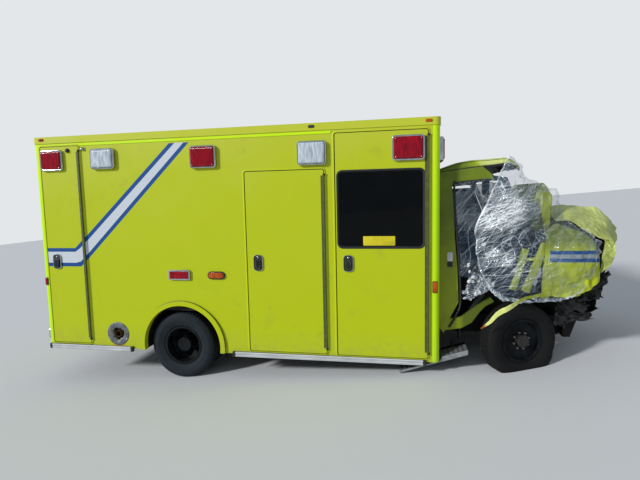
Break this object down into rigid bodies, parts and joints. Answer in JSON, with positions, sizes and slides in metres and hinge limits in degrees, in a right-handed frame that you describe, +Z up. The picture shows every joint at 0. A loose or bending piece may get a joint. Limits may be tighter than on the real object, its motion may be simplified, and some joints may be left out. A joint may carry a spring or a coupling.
{
  "type": "box ambulance with a crushed front",
  "caption": "Box ambulance on a van chassis with hollow body, hinged doors, twin rear wheels, steered front wheels and a crushed, film-wrapped cab.",
  "frame": {"origin": "middle of the floor rectangle that the vehicle covers, on the floor", "axes": "+X forward along the floor, +Y left, +Z up; the body itself is 4.1 degrees nose down"},
  "size_m": [6.4846, 2.484, 2.8581],
  "materials": {
    "lime_paint": "gloss lime yellow",
    "bright_lime": "gloss, brighter extrusion",
    "dark_glass": "dark tint",
    "red_lens": "moulded lens",
    "clear_lens": "moulded lens",
    "ribbed_aluminium": "ribbed, mill finish",
    "tyre": "worn",
    "steel_wheel": "dark, dusty",
    "black_steel": "black chassis paint",
    "rusty_steel": "rusty",
    "black_plastic": "moulded",
    "seat_cloth": "dark cloth",
    "clear_film": "thin plastic film",
    "cast_iron": "cast"
  },
  "bodies": {
    "vehicle": {"box_side_right": "lime_paint", "box_side_left": "lime_paint", "wheel_arch_flares": "lime_paint", "corner_posts": "bright_lime", "box_roof": "lime_paint", "box_floor": "black_steel", "box_front_wall": "lime_paint", "box_rear_frame": "lime_paint", "rub_rails": "ribbed_aluminium", "red_lamps": "red_lens", "clear_lamps": "clear_lens", "side_markers": "red_lens", "exhaust_pipe": "rusty_steel", "exhaust_outlet_plate": "rusty_steel", "rear_bumper": "ribbed_aluminium", "frame_rails": "black_steel", "rear_axle": "black_steel", "rear_springs": "rusty_steel", "front_axle_beam": "rusty_steel", "engine": "cast_iron", "fuel_tank": "black_steel", "cab_shell": "lime_paint", "cab_roof": "lime_paint", "cab_floor": "black_steel", "dashboard": "black_plastic", "seats": "seat_cloth", "running_boards": "ribbed_aluminium", "mud_flaps": "black_plastic", "folded_cowl": "lime_paint", "hood": "lime_paint", "fender_left": "lime_paint", "fender_right": "lime_paint", "radiator_support": "black_plastic", "plastic_film": "clear_film"},
    "right_rear_compartment_door": {"right_rear_compartment_door": "lime_paint", "right_rear_door_lamp": "red_lens"},
    "right_middle_compartment_door": {"right_middle_compartment_door": "lime_paint"},
    "entry_door": {"entry_door": "lime_paint", "entry_door_glass": "dark_glass", "entry_door_lamp": "red_lens"},
    "left_rear_compartment_door": {"left_rear_compartment_door": "lime_paint", "left_rear_door_lamp": "red_lens"},
    "left_middle_compartment_door": {"left_middle_compartment_door": "lime_paint"},
    "left_front_compartment_door": {"left_front_compartment_door": "lime_paint"},
    "rear_door_right": {"rear_door_right": "lime_paint", "rear_door_right_glass": "dark_glass"},
    "rear_door_left": {"rear_door_left": "lime_paint", "rear_door_left_glass": "dark_glass"},
    "cab_door_left": {"cab_door_left": "lime_paint"},
    "rear_wheels_right": {"rear_tyres_right": "tyre", "rear_rims_right": "steel_wheel"},
    "rear_wheels_left": {"rear_tyres_left": "tyre", "rear_rims_left": "steel_wheel"},
    "front_wheel_right": {"front_tyre_right": "tyre", "front_rim_right": "steel_wheel", "front_knuckle_right": "rusty_steel"},
    "front_wheel_left": {"front_tyre_left": "tyre", "front_rim_left": "steel_wheel", "front_knuckle_left": "rusty_steel"}
  },
  "joints": [
    {"name": "right_rear_compartment_door_hinge", "type": "hinge", "parent": "vehicle", "child": "right_rear_compartment_door", "pos_m": [-2.55425, -1.169, 1.27653], "axis": [0.0715, 0, 0.9974], "range_deg": [0, 95]},
    {"name": "right_middle_compartment_door_hinge", "type": "hinge", "parent": "vehicle", "child": "right_middle_compartment_door", "pos_m": [0.18871, -1.169, 1.07991], "axis": [0.0715, 0, 0.9974], "range_deg": [0, 95]},
    {"name": "entry_door_hinge", "type": "hinge", "parent": "vehicle", "child": "entry_door", "pos_m": [1.20211, -1.169, 1.00727], "axis": [0.0715, 0, 0.9974], "range_deg": [0, 100]},
    {"name": "left_rear_compartment_door_hinge", "type": "hinge", "parent": "vehicle", "child": "left_rear_compartment_door", "pos_m": [-2.55425, 1.209, 1.27653], "axis": [-0.0715, 0, -0.9974], "range_deg": [0, 95]},
    {"name": "left_middle_compartment_door_hinge", "type": "hinge", "parent": "vehicle", "child": "left_middle_compartment_door", "pos_m": [0.18871, 1.209, 1.07991], "axis": [-0.0715, 0, -0.9974], "range_deg": [0, 95]},
    {"name": "left_front_compartment_door_hinge", "type": "hinge", "parent": "vehicle", "child": "left_front_compartment_door", "pos_m": [1.20211, 1.209, 1.00727], "axis": [-0.0715, 0, -0.9974], "range_deg": [0, 95]},
    {"name": "rear_door_right_hinge", "type": "hinge", "parent": "vehicle", "child": "rear_door_right", "pos_m": [-3.14873, -0.688, 1.31914], "axis": [0.0715, 0, 0.9974], "range_deg": [0, 105]},
    {"name": "rear_door_left_hinge", "type": "hinge", "parent": "vehicle", "child": "rear_door_left", "pos_m": [-3.14873, 0.728, 1.31914], "axis": [-0.0715, 0, -0.9974], "range_deg": [0, 105]},
    {"name": "cab_door_left_hinge", "type": "hinge", "parent": "vehicle", "child": "cab_door_left", "pos_m": [2.30328, 1.003, 0.92834], "axis": [-0.0715, 0, -0.9974], "range_deg": [0, 68]},
    {"name": "rear_wheels_right_spin", "type": "hinge", "parent": "vehicle", "child": "rear_wheels_right", "pos_m": [-1.51627, -0.88, 0.372], "axis": [0, 1, 0], "continuous": true},
    {"name": "rear_wheels_left_spin", "type": "hinge", "parent": "vehicle", "child": "rear_wheels_left", "pos_m": [-1.51627, 0.88, 0.372], "axis": [0, 1, 0], "continuous": true},
    {"name": "front_steer_right", "type": "hinge", "parent": "vehicle", "child": "front_wheel_right", "pos_m": [1.99783, -0.84, 0.2755], "axis": [0, 0, 1], "range_deg": [-57, 13]},
    {"name": "front_steer_left", "type": "hinge", "parent": "vehicle", "child": "front_wheel_left", "pos_m": [1.99783, 0.88, 0.2755], "axis": [0, 0, 1], "range_deg": [-57, 13]}
  ],
  "couplings": [
    {"joint": "front_steer_left", "follows": "front_steer_right", "ratio": 1}
  ]
}
